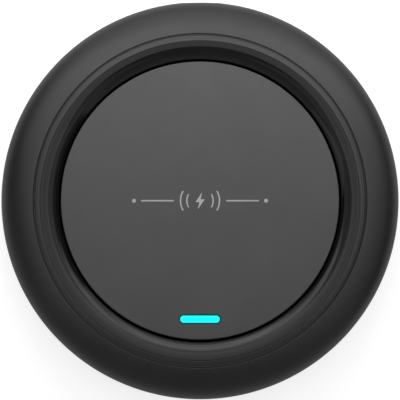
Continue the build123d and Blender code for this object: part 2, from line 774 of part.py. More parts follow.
# Small chip parts in rows beside the controller and the bridge: size, grid and middle.
chip_rows = {
    "chip_resistors": ((1.0, 0.5, 0.35), (1.8, 1.4, 5, 3), (-14.5, -2.0)),
    "chip_capacitors": ((1.6, 0.8, 0.8), (2.6, 1.8, 4, 2), (-7.0, 1.5)),
}
for chip_name, ((length_x, length_y, height), (step_x, step_y, columns, rows), middle) in chip_rows.items():
    with BuildPart() as chips:
        with BuildSketch(Plane.XY.offset(board_top_z)):
            with Locations(middle):
                with GridLocations(step_x, step_y, columns, rows):
                    Rectangle(length_x, length_y)
        extrude(amount=height)
    chips.part.label = chip_name
    export_step(chips.part, f"parts/{chip_name}.step")
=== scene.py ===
from math import acos, asin, atan2, cos, degrees, pi, radians, sin, sqrt, tan

import bpy
import bmesh
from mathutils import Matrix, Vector


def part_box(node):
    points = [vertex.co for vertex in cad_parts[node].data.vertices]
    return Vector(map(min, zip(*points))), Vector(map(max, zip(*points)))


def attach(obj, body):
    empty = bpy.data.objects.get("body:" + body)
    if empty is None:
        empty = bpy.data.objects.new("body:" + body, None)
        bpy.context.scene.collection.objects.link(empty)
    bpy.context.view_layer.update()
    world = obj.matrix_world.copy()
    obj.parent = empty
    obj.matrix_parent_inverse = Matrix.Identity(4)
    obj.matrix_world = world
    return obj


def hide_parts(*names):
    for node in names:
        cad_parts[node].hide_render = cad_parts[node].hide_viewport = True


# The looks of a round wireless charging pad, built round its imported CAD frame. Metres.
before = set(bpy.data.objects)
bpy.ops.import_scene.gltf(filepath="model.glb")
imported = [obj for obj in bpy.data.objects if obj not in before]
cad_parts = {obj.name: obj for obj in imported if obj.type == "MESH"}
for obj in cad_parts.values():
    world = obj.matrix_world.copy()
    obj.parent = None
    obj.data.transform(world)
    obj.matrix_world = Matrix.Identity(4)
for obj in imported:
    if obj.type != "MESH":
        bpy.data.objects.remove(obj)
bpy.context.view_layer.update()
MM = 0.001
ROOT = "root"

# ---------------------------------------------------------------- places from the frame

shell_low, shell_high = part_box("outer_shell")
disc_low, disc_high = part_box("charging_disc")
trim_low, trim_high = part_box("trim_ring")
ring_low, ring_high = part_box("retaining_ring")
base_low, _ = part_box("base_cover")
light_low, light_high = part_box("light_guide")
port_low, port_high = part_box("usb_c_shell")
contacts_low, contacts_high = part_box("usb_c_contacts")

PAD_R = shell_high.x
SEAM_Z = shell_low.z
PORT_Z = (contacts_low.z + contacts_high.z) / 2
DISC_R = disc_high.x
DISC_TOP = disc_high.z
DISC_BOTTOM = disc_low.z
CREST_Z = trim_high.z
RING_R = ring_high.x
RING_SEAT_Z = ring_low.z
BASE_Z = base_low.z

# ---------------------------------------------------------------- mesh helpers

TURN_STEPS = 384
SHARP = radians(40)


def arc(centre, radius, start, end, steps):
    """Points on a circle in the (r, z) plane, from one angle in degrees to another."""
    angles = [radians(start + (end - start) * i / steps) for i in range(steps + 1)]
    return [(centre[0] + radius * cos(a), centre[1] + radius * sin(a)) for a in angles]


def ellipse(centre, width, height, start, end, steps):
    """Points on an ellipse in the (r, z) plane, by its parameter in degrees."""
    angles = [radians(start + (end - start) * i / steps) for i in range(steps + 1)]
    return [(centre[0] + width * cos(a), centre[1] + height * sin(a)) for a in angles]


def rounded(corners, steps=6):
    """A closed outline from (x, y, radius) corners, each one rounded by an arc."""
    outline = []
    count = len(corners)
    for i, (x, y, radius) in enumerate(corners):
        here = Vector((x, y))
        before = Vector(corners[i - 1][:2]) - here
        after = Vector(corners[(i + 1) % count][:2]) - here
        if radius == 0:
            outline.append((x, y))
            continue
        half = before.angle(after) / 2
        reach = radius / tan(half)
        before.normalize()
        after.normalize()
        start = here + before * reach
        end = here + after * reach
        centre = here + (before + after).normalized() * (radius / sin(half))
        first = atan2(start.y - centre.y, start.x - centre.x)
        turn = atan2(end.y - centre.y, end.x - centre.x) - first
        turn = (turn + pi) % (2 * pi) - pi
        for k in range(steps + 1):
            a = first + turn * k / steps
            outline.append((centre.x + radius * cos(a), centre.y + radius * sin(a)))
    return outline


def new_piece(name, vertices, faces, material, slot, stands_for=()):
    """A smooth-shaded mesh piece on the root body."""
    mesh = bpy.data.meshes.new(name)
    mesh.from_pydata(vertices, [], faces)
    mesh.validate()
    mesh.shade_smooth()
    mesh.set_sharp_from_angle(angle=SHARP)
    piece = bpy.data.objects.new(name, mesh)
    bpy.context.collection.objects.link(piece)
    mesh.materials.append(material)
    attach(piece, ROOT)
    if stands_for:
        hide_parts(*stands_for)
    return piece


def lathe(name, outline, material, slot, stands_for=()):
    """A closed (r, z) outline turned about Z."""
    vertices = []
    faces = []
    count = len(outline)
    for i in range(TURN_STEPS):
        a = 2 * pi * i / TURN_STEPS
        vertices += [(r * cos(a), r * sin(a), z) for r, z in outline]
        here = i * count
        there = (i + 1) % TURN_STEPS * count
        for k in range(count):
            n = (k + 1) % count
            faces.append((here + k, there + k, there + n, here + n))
    return new_piece(name, vertices, faces, material, slot, stands_for)


def loft(loops, base=0):
    """Vertices and outward faces of a solid through equal closed loops, with flat ends."""
    count = len(loops[0])
    vertices = [v for loop in loops for v in loop]
    faces = []
    for i in range(len(loops) - 1):
        here = base + i * count
        for k in range(count):
            n = (k + 1) % count
            faces.append((here + k, here + n, here + count + n, here + count + k))
    faces.append(tuple(base + k for k in reversed(range(count))))
    faces.append(tuple(base + (len(loops) - 1) * count + k for k in range(count)))
    return vertices, faces


def stadium(length, width, grow=0.0, steps=16):
    """Outline of a slot that is this long and wide overall, grown on every side."""
    r = width / 2 + grow
    half = (length - width) / 2
    turns = [pi * (i / steps - 0.5) for i in range(steps + 1)]
    right = [(half + r * cos(a), r * sin(a)) for a in turns]
    left = [(-x, -y) for x, y in right]
    return right + left


def face_outward(mesh):
    """Turns every face's normal outwards."""
    work = bmesh.new()
    work.from_mesh(mesh)
    bmesh.ops.recalc_face_normals(work, faces=work.faces)
    work.to_mesh(mesh)
    work.free()


def apply_modifiers(piece):
    """Makes the piece's evaluated mesh its own, and drops its modifiers."""
    graph = bpy.context.evaluated_depsgraph_get()
    mesh = bpy.data.meshes.new_from_object(piece.evaluated_get(graph))
    piece.modifiers.clear()
    piece.data = mesh
    mesh.shade_smooth()
    mesh.set_sharp_from_angle(angle=SHARP)


def cut(piece, loops):
    """Takes the solid through these loops out of the piece."""
    mesh = bpy.data.meshes.new("cutter")
    vertices, faces = loft(loops)
    mesh.from_pydata(vertices, [], faces)
    face_outward(mesh)
    cutter = bpy.data.objects.new("cutter", mesh)
    bpy.context.collection.objects.link(cutter)
    modifier = piece.modifiers.new("cut", "BOOLEAN")
    modifier.operation = "DIFFERENCE"
    modifier.solver = "EXACT"
    modifier.object = cutter
    apply_modifiers(piece)
    bpy.data.objects.remove(cutter)


# ---------------------------------------------------------------- materials


def maths(tree, operation, *values):
    """A Math node's result, from numbers and other nodes' outputs."""
    node = tree.nodes.new("ShaderNodeMath")
    node.operation = operation
    for socket, value in zip(node.inputs, values):
        if isinstance(value, (int, float)):
            socket.default_value = value
        else:
            tree.links.new(value, socket)
    return node.outputs[0]


class Shader:
    """A Principled material with helpers for procedural detail in the object's own space."""

    def __init__(self, name, colour, roughness, metallic=0.0, ior=1.5):
        self.material = bpy.data.materials.new(name)
        self.material.use_nodes = True
        self.tree = self.material.node_tree
        self.nodes = self.tree.nodes
        self.links = self.tree.links
        self.bsdf = self.nodes["Principled BSDF"]
        self.bsdf.inputs["Base Color"].default_value = (*colour, 1)
        self.bsdf.inputs["Roughness"].default_value = roughness
        self.bsdf.inputs["Metallic"].default_value = metallic
        self.bsdf.inputs["IOR"].default_value = ior
        self.place = self.nodes.new("ShaderNodeTexCoord").outputs["Object"]
        self.normal = None

    def noise(self, size, detail=4.0):
        """Noise whose features are about this size, in metres."""
        node = self.nodes.new("ShaderNodeTexNoise")
        node.inputs["Scale"].default_value = 1 / size
        node.inputs["Detail"].default_value = detail
        node.inputs["Roughness"].default_value = 0.55
        self.links.new(self.place, node.inputs["Vector"])
        return node.outputs["Fac"]

    def cells(self, size):
        """Distance to the middle of cells of about this size, in metres."""
        node = self.nodes.new("ShaderNodeTexVoronoi")
        node.inputs["Scale"].default_value = 1 / size
        self.links.new(self.place, node.inputs["Vector"])
        return node.outputs["Distance"]

    def ramp(self, value, low, high, to_low, to_high):
        """Maps a value from one range to another, held within it."""
        node = self.nodes.new("ShaderNodeMapRange")
        node.inputs["From Min"].default_value = low
        node.inputs["From Max"].default_value = high
        node.inputs["To Min"].default_value = to_low
        node.inputs["To Max"].default_value = to_high
        self.links.new(value, node.inputs["Value"])
        return node.outputs["Result"]

    def colour(self, value, dark, light):
        """Base colour that varies between two colours with a 0 to 1 texture."""
        node = self.nodes.new("ShaderNodeValToRGB")
        node.color_ramp.elements[0].position = 0.35
        node.color_ramp.elements[0].color = (*dark, 1)
        node.color_ramp.elements[1].position = 0.65
        node.color_ramp.elements[1].color = (*light, 1)
        self.links.new(value, node.inputs["Fac"])
        self.links.new(node.outputs["Color"], self.bsdf.inputs["Base Color"])
        return self

    def rough(self, value, low, high):
        """Roughness that varies between two values with a 0 to 1 texture."""
        self.links.new(self.ramp(value, 0.3, 0.7, low, high), self.bsdf.inputs["Roughness"])
        return self

    def bump(self, value, height):
        """Adds relief of this height, in metres."""
        node = self.nodes.new("ShaderNodeBump")
        node.inputs["Strength"].default_value = 1.0
        node.inputs["Distance"].default_value = height
        self.links.new(value, node.inputs["Height"])
        if self.normal:
            self.links.new(self.normal, node.inputs["Normal"])
        self.normal = node.outputs["Normal"]
        self.links.new(self.normal, self.bsdf.inputs["Normal"])
        return self

    def set(self, **sockets):
        """Sets Principled sockets by name, with underscores for spaces."""
        for socket, value in sockets.items():
            self.bsdf.inputs[socket.replace("_", " ")].default_value = value
        return self


def moulded(name, colour, spread, roughness, rough_spread, grain, depth, ior=1.5):
    """Moulded plastic: faint cloudy colour, uneven gloss and a fine spark-eroded grain."""
    shader = Shader(name, colour, roughness, ior=ior)
    dark = tuple(c * (1 - spread) for c in colour)
    light = tuple(c * (1 + spread) for c in colour)
    shader.colour(shader.noise(9 * MM, detail=3), dark, light)
    shader.rough(shader.noise(2.5 * MM, detail=5), roughness - rough_spread, roughness + rough_spread)
    shader.bump(shader.noise(grain, detail=2), depth)
    return shader.material


SHELL = moulded("satin_shell", (0.008, 0.008, 0.0085), 0.12, 0.40, 0.03, 0.16 * MM, 0.0025 * MM, ior=1.65)
TRIM = moulded("gloss_trim", (0.004, 0.004, 0.0042), 0.10, 0.10, 0.02, 0.6 * MM, 0.0002 * MM)
DISC = moulded("soft_touch_disc", (0.0655, 0.0655, 0.0659),
               0.03, 0.62, 0.04, 0.16 * MM, 0.004 * MM, ior=1.33)

# ---------------------------------------------------------------- outer shell

# Sizes as in the CAD model. The equator is where the pad is widest.
EQUATOR_Z = 7.1 * MM
CROWN_INSET = 3.45 * MM
GROOVE = 0.06 * MM
SIDE_WIDTH = 5.0 * MM
SHELL_WALL = 1.9 * MM
SKIRT_WALL = 1.8 * MM
RING_SEAT_DEPTH = 1.45 * MM
FLANGE = 1.6 * MM
FLANGE_BORE_R = DISC_R + 2.8 * MM
MOUTH_ROUND = 0.15 * MM
MOUTH_ROUND_START = 85
MOUTH_R = RING_R + GROOVE
MOUTH_Z = RING_SEAT_Z + RING_SEAT_DEPTH
CROWN_C = MOUTH_R - CROWN_INSET
CROWN_A = PAD_R - CROWN_C
CROWN_B = (MOUTH_Z - EQUATOR_Z) / sqrt(1 - (CROWN_INSET / CROWN_A) ** 2)
SIDE_C = PAD_R - SIDE_WIDTH
SIDE_B = EQUATOR_Z - BASE_Z


def height_angle(height, half_height):
    """Parameter, in degrees, of an ellipse's point at a height above its centre."""
    return degrees(asin(height / half_height))


def shell_outline():
    """The shell's section: side, crown, rounded mouth, flange and inside wall."""
    seam = height_angle(EQUATOR_Z - SEAM_Z, SIDE_B)
    mouth = height_angle(MOUTH_Z - EQUATOR_Z, CROWN_B)
    flange_bottom = RING_SEAT_Z - FLANGE
    inner_b = CROWN_B - SHELL_WALL
    flange = height_angle(flange_bottom - EQUATOR_Z, inner_b)
    side = ellipse((SIDE_C, EQUATOR_Z), SIDE_WIDTH, SIDE_B, -seam, 0, 24)
    crown = ellipse((CROWN_C, EQUATOR_Z), CROWN_A, CROWN_B, 0, mouth, 110)
    inner = ellipse((CROWN_C, EQUATOR_Z), CROWN_A - SHELL_WALL, inner_b, flange, 0, 20)
    # The crown stops short of the mouth and turns down into the groove.
    crown = [point for point in crown if point[0] > MOUTH_R + 1.1 * MOUTH_ROUND]
    lip_centre = (MOUTH_R + MOUTH_ROUND, crown[-1][1] - 0.98 * MOUTH_ROUND)
    lip = arc(lip_centre, MOUTH_ROUND, MOUTH_ROUND_START, 180, 8)
    flange_line = [(MOUTH_R, RING_SEAT_Z), (FLANGE_BORE_R, RING_SEAT_Z), (FLANGE_BORE_R, flange_bottom)]
    skirt_r = side[0][0] - SKIRT_WALL
    return side[:-1] + crown + lip + flange_line + inner + [(skirt_r, SEAM_Z)]


shell = lathe("shell_casing", shell_outline(), SHELL, "shell_black", ["outer_shell"])

PORT_CLEARANCE = 0.2 * MM
PORT_EDGE = 0.35 * MM
PORT_HEIGHT = 3.16 * MM
PORT_WALL = 2.0 * MM
PORT_FACE_INSET = 0.12 * MM
PORT_OVERCUT = 1.4 * MM
PORT_EDGE_STEPS = 8
POCKET_WIDTH = 14.8 * MM
POCKET_TOP = 7.96 * MM
POCKET_DEPTH = 4.5 * MM


def port_loops():
    """The receptacle's opening in the back, flared by a rounded mouth."""
    length = port_high.x - port_low.x + 2 * PORT_CLEARANCE
    width = PORT_HEIGHT + 2 * PORT_CLEARANCE
    edge_y = PAD_R - PORT_FACE_INSET - PORT_EDGE
    levels = [(PAD_R - PORT_WALL - PORT_OVERCUT, 0.0), (edge_y, 0.0)]
    for i in range(1, PORT_EDGE_STEPS + 1):
        a = pi / 2 * i / PORT_EDGE_STEPS
        levels.append((edge_y + PORT_EDGE * sin(a), PORT_EDGE * (1 - cos(a))))
    levels.append((PAD_R + MM, PORT_EDGE))
    return [[(x, y, PORT_Z + z) for x, z in stadium(length, width, grow)] for y, grow in levels]


def pocket_loops():
    """Room inside the back wall for the board's tongue and the receptacle."""
    half = POCKET_WIDTH / 2
    back = PAD_R - PORT_WALL
    front = back - POCKET_DEPTH
    corners = [(-half, front), (half, front), (half, back), (-half, back)]
    return [[(x, y, z) for x, y in corners] for z in (SEAM_Z - MM, POCKET_TOP)]


cut(shell, pocket_loops())
cut(shell, port_loops())

# ---------------------------------------------------------------- trim ring and retaining ring

DISC_GAP = 0.6 * MM
FLANK_WIDTH = 4.35 * MM
FLANK_R = 5.9 * MM
CREST_LAND = 0.25 * MM
TRIM_IN = DISC_R + DISC_GAP
CREST_R = TRIM_IN + FLANK_WIDTH
CREASE_R = CREST_R + CREST_LAND
CREASE_Z = CREST_Z - FLANK_R + sqrt(FLANK_R**2 - CREST_LAND**2)
LEDGE_WIDTH = 2.35 * MM
LEG_WIDTH = 2.05 * MM
TAPE = 0.15 * MM
REBATE_Z = RING_SEAT_Z + 0.9 * MM
TRIM_EDGE = 0.05 * MM
RING_SEAM = 0.1 * MM
RING_TILT = radians(10.0)
RING_STEP = 0.1 * MM
RING_STEP_INSET = 0.75 * MM
RING_CHAMFER = 0.5 * MM


def trim_outline():
    """The trim ring's section: flank, crest, rebate, leg and ledge."""
    centre = (CREST_R, CREST_Z - FLANK_R)
    foot = degrees(acos(-FLANK_WIDTH / FLANK_R))
    crease = degrees(acos(CREST_LAND / FLANK_R))
    top = arc(centre, FLANK_R, foot, crease, 60)
    top[0] = (TRIM_IN, top[0][1] - TRIM_EDGE)
    top[-1] = (CREASE_R - TRIM_EDGE, CREASE_Z)
    rebate_r = trim_high.x
    ledge_top = DISC_BOTTOM - TAPE
    leg_r = TRIM_IN + LEG_WIDTH
    ledge_r = DISC_R - LEDGE_WIDTH
    return top + [
        (CREASE_R, CREASE_Z - TRIM_EDGE),
        (CREASE_R, REBATE_Z),
        (rebate_r, REBATE_Z),
        (rebate_r, RING_SEAT_Z),
        (leg_r, RING_SEAT_Z),
        (leg_r, trim_low.z),
        (ledge_r, trim_low.z),
        (ledge_r, ledge_top),
        (TRIM_IN, ledge_top),
    ]


def ring_outline():
    """The retaining ring's section: a sloping top with a fine step, and a chamfered edge."""
    slope = tan(RING_TILT)
    inner_r = CREASE_R + RING_SEAM
    step_r = CREASE_R + RING_STEP_INSET
    top_z = CREASE_Z - RING_SEAM * slope
    step_z = CREASE_Z - RING_STEP_INSET * slope
    edge_z = CREASE_Z - (RING_R - CREASE_R) * slope - RING_STEP
    rebate_r = trim_high.x + RING_SEAM
    return rounded([
        (inner_r, top_z, 0.05 * MM),
        (step_r, step_z, 0.04 * MM),
        (step_r + RING_STEP, step_z - RING_STEP * (1 + slope), 0.04 * MM),
        (RING_R - RING_CHAMFER * cos(RING_TILT), edge_z + RING_CHAMFER * sin(RING_TILT), 0.5 * MM),
        (RING_R, edge_z - RING_CHAMFER, 0.05 * MM),
        (RING_R, RING_SEAT_Z, 0),
        (rebate_r, RING_SEAT_Z, 0),
        (rebate_r, REBATE_Z, 0),
        (inner_r, REBATE_Z, 0),
    ], steps=14)


trim = lathe("bezel", trim_outline(), TRIM, "trim_black", ["trim_ring"])
lathe("outer_bezel_ring", ring_outline(), SHELL, "shell_black", ["retaining_ring"])


def painted_gap_shade():
    """Painted shade: a dull black without gloss on the bezel's walls below the disc, inside the gap,
    standing in for the shade down in the narrow gap.
    """
    shader = Shader("painted_gap_shadow", (0.003, 0.003, 0.003), 0.9)
    shader.colour(shader.noise(1.2 * MM), (0.002, 0.002, 0.002), (0.004, 0.004, 0.004))
    shader.rough(shader.noise(0.5 * MM), 0.8, 1.0).bump(shader.noise(0.1 * MM), 0.01 * MM)
    shader.set(Specular_IOR_Level=0.0)
    return shader.material


# The bezel's faces below the disc, inside the gap, take the painted shade.
trim.data.materials.append(painted_gap_shade())
for face in trim.data.polygons:
    if all(trim.data.vertices[v].co.z < DISC_BOTTOM for v in face.vertices):
        face.material_index = 1

# ---------------------------------------------------------------- charging disc and its mark

DISC_EDGE = 0.25 * MM
DISC_UNDER_EDGE = 0.1 * MM
LIGHT_SLOT_CLEARANCE = 0.33 * MM
LIGHT_Y = (light_low.y + light_high.y) / 2
LIGHT_LENGTH = 10.0 * MM
LIGHT_WIDTH = 1.85 * MM


def circle(radius, z):
    """A loop of points round Z."""
    turns = [2 * pi * i / TURN_STEPS for i in range(TURN_STEPS)]
    return [(radius * cos(a), radius * sin(a), z) for a in turns]


def disc_loops():
    """The disc: a small underside chamfer, the side and a rounded upper edge."""
    edge = arc((DISC_R - DISC_EDGE, DISC_TOP - DISC_EDGE), DISC_EDGE, 0, 90, 8)
    under = [(DISC_R - DISC_UNDER_EDGE, DISC_BOTTOM), (DISC_R, DISC_BOTTOM + DISC_UNDER_EDGE)]
    return [circle(r, z) for r, z in under + edge]


disc = new_piece("disc_plate", *loft(disc_loops()), DISC, "disc_grey", ["charging_disc"])
slot_outline = stadium(LIGHT_LENGTH, LIGHT_WIDTH, LIGHT_SLOT_CLEARANCE)
cut(disc, [[(x, LIGHT_Y + y, z) for x, y in slot_outline] for z in (DISC_BOTTOM - MM, DISC_TOP + MM)])

MARK_BELOW = 0.006 * MM
MARK_PROUD = 0.014 * MM
STROKE = 0.34 * MM
ARC_RADII = (3.3 * MM, 4.9 * MM)
ARC_SPREAD = radians(30)
ARC_STEPS = 24
LINE_START = 6.6 * MM
LINE_END = 14.8 * MM
DOT_PLACE = 16.6 * MM
DOT_R = 0.5 * MM
DOT_STEPS = 24
# Corners of the bolt, in millimetres.
BOLT = [(0.55, 2.15), (-1.15, -0.35), (-0.15, -0.35), (-0.55, -2.15), (1.15, 0.35), (0.15, 0.35)]


def ribbon(points, width):
    """Outline of a stroke of this width along the points."""
    left = []
    right = []
    for i, point in enumerate(points):
        before = Vector(points[max(i - 1, 0)])
        after = Vector(points[min(i + 1, len(points) - 1)])
        along = (after - before).normalized()
        side = Vector((-along.y, along.x)) * width / 2
        left.append(tuple(Vector(point) + side))
        right.append(tuple(Vector(point) - side))
    return right + left[::-1]


def mark_outlines():
    """A plain bolt between arcs, thin lines and dots."""
    outlines = [[(x * MM, y * MM) for x, y in BOLT]]
    for side in (1, -1):
        for radius in ARC_RADII:
            swing = [ARC_SPREAD * (2 * i / ARC_STEPS - 1) for i in range(ARC_STEPS + 1)]
            bow = [(side * radius * cos(a), radius * sin(a)) for a in swing]
            outlines.append(ribbon(bow, STROKE))
        outlines.append(ribbon([(side * LINE_START, 0), (side * LINE_END, 0)], STROKE))
        turns = [2 * pi * i / DOT_STEPS for i in range(DOT_STEPS)]
        outlines.append([(side * DOT_PLACE + DOT_R * cos(a), DOT_R * sin(a)) for a in turns])
    return outlines


def mark():
    """The printed mark, as a film on the disc."""
    shader = Shader("silver_print", (0.33, 0.33, 0.335), 0.45)
    shader.colour(shader.noise(0.8 * MM), (0.30, 0.30, 0.305), (0.36, 0.36, 0.365))
    shader.rough(shader.noise(0.3 * MM), 0.40, 0.52).bump(shader.noise(0.08 * MM), 0.002 * MM)
    vertices = []
    faces = []
    for outline in mark_outlines():
        levels = [[(x, y, z) for x, y in outline] for z in (DISC_TOP - MARK_BELOW, DISC_TOP + MARK_PROUD)]
        more, sides = loft(levels, len(vertices))
        vertices += more
        faces += sides
    piece = new_piece("printed_mark", vertices, faces, shader.material, "label_grey")
    face_outward(piece.data)


mark()

# ---------------------------------------------------------------- materials of the CAD pieces


def give(material, *nodes):
    """Puts a material on CAD nodes."""
    for name in nodes:
        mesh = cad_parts[name].data
        mesh.materials.clear()
        mesh.materials.append(material)


CORE_HALF = (LIGHT_LENGTH - LIGHT_WIDTH) / 2
EDGE_START = 0.86 * MM
EDGE_END = 0.96 * MM


def light_window():
    """Cyan acrylic lit from below: even in the middle, paler near its edge and deep teal past it."""
    shader = Shader("lit_window", (0.002, 0.08, 0.09), 0.30, ior=1.2)
    tree = shader.tree
    split = shader.nodes.new("ShaderNodeSeparateXYZ")
    shader.links.new(shader.place, split.inputs[0])
    along = maths(tree, "ABSOLUTE", split.outputs[0])
    beyond = maths(tree, "MAXIMUM", maths(tree, "SUBTRACT", along, CORE_HALF), 0.0)
    across = maths(tree, "SUBTRACT", split.outputs[1], LIGHT_Y)
    squares = [maths(tree, "MULTIPLY", way, way) for way in (beyond, across)]
    away = maths(tree, "SQRT", maths(tree, "ADD", *squares))
    wander = shader.ramp(shader.noise(1.1 * MM), 0.3, 0.7, -0.02 * MM, 0.02 * MM)
    edge = shader.nodes.new("ShaderNodeValToRGB")
    edge.color_ramp.elements[0].position = 0.3
    edge.color_ramp.elements[0].color = (0.002, 0.96, 0.90, 1)
    edge.color_ramp.elements[1].position = 1.0
    edge.color_ramp.elements[1].color = (0.0004, 0.022, 0.026, 1)
    pale = edge.color_ramp.elements.new(EDGE_START / EDGE_END)
    pale.color = (0.030, 0.88, 0.92, 1)
    reach = shader.ramp(maths(tree, "ADD", away, wander), 0.0, EDGE_END, 0.0, 1.0)
    shader.links.new(reach, edge.inputs["Fac"])
    shader.links.new(edge.outputs["Color"], shader.bsdf.inputs["Emission Color"])
    shader.set(Emission_Strength=1.0)
    shader.colour(shader.noise(0.6 * MM), (0.0015, 0.07, 0.08), (0.0025, 0.09, 0.10))
    shader.rough(shader.noise(0.4 * MM), 0.25, 0.38).bump(shader.noise(0.15 * MM), 0.002 * MM)
    return shader.material


def finish(name, dark, light, cloud, rough, grain, depth, metallic=0.0):
    """A material with clouds of colour, a roughness range and relief, at these sizes in mm."""
    middle = tuple((a + b) / 2 for a, b in zip(dark, light))
    shader = Shader(name, middle, sum(rough) / 2, metallic)
    shader.colour(shader.noise(cloud * MM), dark, light)
    shader.rough(shader.noise(cloud * MM / 3, detail=6), *rough)
    shader.bump(shader.noise(grain * MM, detail=3), depth * MM)
    return shader


def copper():
    """Enamelled litz wire: fine strands wound round each turn."""
    shader = finish("litz_copper", (0.52, 0.20, 0.08), (0.70, 0.31, 0.13),
                    2.0, (0.24, 0.40), 0.5, 0.01, 1.0)
    strand = shader.nodes.new("ShaderNodeTexWave")
    strand.wave_type = "BANDS"
    strand.bands_direction = "DIAGONAL"
    strand.inputs["Scale"].default_value = 1 / (0.9 * MM)
    strand.inputs["Distortion"].default_value = 1.5
    shader.links.new(shader.place, strand.inputs["Vector"])
    shader.bump(strand.outputs["Fac"], 0.04 * MM)
    return shader.material


def board():
    """Green solder mask over copper tracks, which show as faint lighter lines."""
    shader = Shader("solder_mask", (0.0055, 0.0725, 0.027), 0.315)
    shader.rough(shader.noise(1.0 * MM, detail=6), 0.25, 0.38)
    shader.bump(shader.noise(0.3 * MM, detail=3), 0.004 * MM)
    tracks = shader.nodes.new("ShaderNodeTexBrick")
    tracks.inputs["Scale"].default_value = 1 / (4 * MM)
    tracks.inputs["Mortar Size"].default_value = 0.05
    tracks.inputs["Color1"].default_value = (0.004, 0.055, 0.020, 1)
    tracks.inputs["Color2"].default_value = (0.006, 0.080, 0.030, 1)
    tracks.inputs["Mortar"].default_value = (0.012, 0.13, 0.05, 1)
    shader.links.new(shader.place, tracks.inputs["Vector"])
    shader.links.new(tracks.outputs["Color"], shader.bsdf.inputs["Base Color"])
    shader.bump(tracks.outputs["Fac"], 0.03 * MM)
    return shader.material


def foam():
    """Closed-cell foam: small round cells."""
    shader = finish("gasket_foam", (0.010, 0.010, 0.011), (0.020, 0.020, 0.021),
                    0.8, (0.85, 0.98), 0.2, 0.02)
    shader.bump(shader.cells(0.18 * MM), 0.05 * MM)
    return shader.material


def brushed(name, dark, light, rough, metallic, stretch):
    """A surface with fine straight lines along X."""
    shader = finish(name, dark, light, 1.5, rough, 0.2, 0.001, metallic)
    mapping = shader.nodes.new("ShaderNodeMapping")
    mapping.inputs["Scale"].default_value = (1 / stretch, 1, 1)
    shader.links.new(shader.place, mapping.inputs["Vector"])
    lines = shader.nodes.new("ShaderNodeTexNoise")
    lines.inputs["Scale"].default_value = 1 / (0.05 * MM)
    lines.inputs["Detail"].default_value = 2
    shader.links.new(mapping.outputs["Vector"], lines.inputs["Vector"])
    shader.bump(lines.outputs["Fac"], 0.003 * MM)
    return shader.material


give(light_window(), "light_guide")
give(moulded("base_plastic", (0.012, 0.012, 0.013), 0.10, 0.42, 0.03, 0.25 * MM, 0.003 * MM), "base_cover")
give(finish("silicone_foot", (0.020, 0.020, 0.021), (0.034, 0.034, 0.036),
            1.5, (0.50, 0.72), 0.3, 0.004).material,
     "foot_right", "foot_back", "foot_left", "foot_front")
give(finish("black_tape", (0.006, 0.006, 0.006), (0.011, 0.011, 0.011),
            2.0, (0.80, 0.95), 0.15, 0.01).material,
     "disc_adhesive", "foot_adhesives")
give(finish("amber_tape", (0.42, 0.18, 0.03), (0.55, 0.26, 0.05), 3.0, (0.30, 0.45), 0.4, 0.008).material,
     "coil_adhesive", "ferrite_adhesive")
give(brushed("blank_label", (0.30, 0.30, 0.31), (0.38, 0.38, 0.39), (0.35, 0.50), 0.3, 12), "rating_label")
give(foam(), "light_gasket")
give(copper(), "transmitter_coil", "coil_leads")
give(finish("ferrite", (0.022, 0.022, 0.024), (0.050, 0.050, 0.054),
            0.6, (0.45, 0.70), 0.12, 0.015).material,
     "ferrite_shield", "power_inductor")
give(moulded("carrier_plastic", (0.045, 0.046, 0.050), 0.12, 0.50, 0.05, 0.4 * MM, 0.006 * MM),
     "coil_carrier")
give(brushed("zinc_steel", (0.50, 0.50, 0.50), (0.66, 0.66, 0.65), (0.24, 0.38), 1.0, 4),
     "case_screws", "board_screws", "carrier_screws")
give(finish("sensor_epoxy", (0.030, 0.012, 0.006), (0.050, 0.020, 0.010),
            0.5, (0.18, 0.30), 0.3, 0.02).material,
     "temperature_sensor")
give(brushed("tinned_wire", (0.60, 0.60, 0.58), (0.74, 0.74, 0.72), (0.28, 0.42), 1.0, 1), "sensor_wires")
give(board(), "main_board")
give(brushed("nickel_steel", (0.48, 0.47, 0.45), (0.60, 0.59, 0.57), (0.20, 0.32), 1.0, 6), "usb_c_shell")
give(finish("port_plastic", (0.012, 0.012, 0.013), (0.022, 0.022, 0.024),
            0.8, (0.35, 0.50), 0.1, 0.003).material,
     "usb_c_tongue")
give(finish("contact_gold", (0.75, 0.50, 0.14), (0.88, 0.62, 0.20),
            0.4, (0.16, 0.28), 0.08, 0.001, 1.0).material,
     "usb_c_contacts")
give(finish("chip_package", (0.012, 0.012, 0.013), (0.026, 0.026, 0.027),
            0.5, (0.55, 0.75), 0.06, 0.006).material,
     "controller_ic", "bridge_mosfets", "port_protection", "sense_resistor", "chip_resistors")
give(finish("ceramic", (0.26, 0.15, 0.08), (0.36, 0.22, 0.12), 0.6, (0.35, 0.55), 0.08, 0.004).material,
     "resonant_capacitors", "input_capacitors", "chip_capacitors")
give(brushed("crystal_can", (0.58, 0.57, 0.54), (0.70, 0.69, 0.66), (0.22, 0.34), 1.0, 5), "crystal")
give(finish("led_phosphor", (0.62, 0.60, 0.30), (0.72, 0.70, 0.38),
            0.3, (0.40, 0.55), 0.1, 0.004).material,
     "indicator_leds")

EDGE_BEVEL = 0.07 * MM
for node_name in ("usb_c_shell", "usb_c_tongue", "base_cover"):
    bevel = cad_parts[node_name].modifiers.new("edge", "BEVEL")
    bevel.width = EDGE_BEVEL
    bevel.segments = 2
    bevel.limit_method = "ANGLE"
    bevel.angle_limit = SHARP
    bevel.harden_normals = True

# ---------------------------------------------------------------- stage, light and camera

FLOOR_HALF = 6.0
FLOOR_BOUNCE = 0.30
FLOOR_WHITE = 0.80


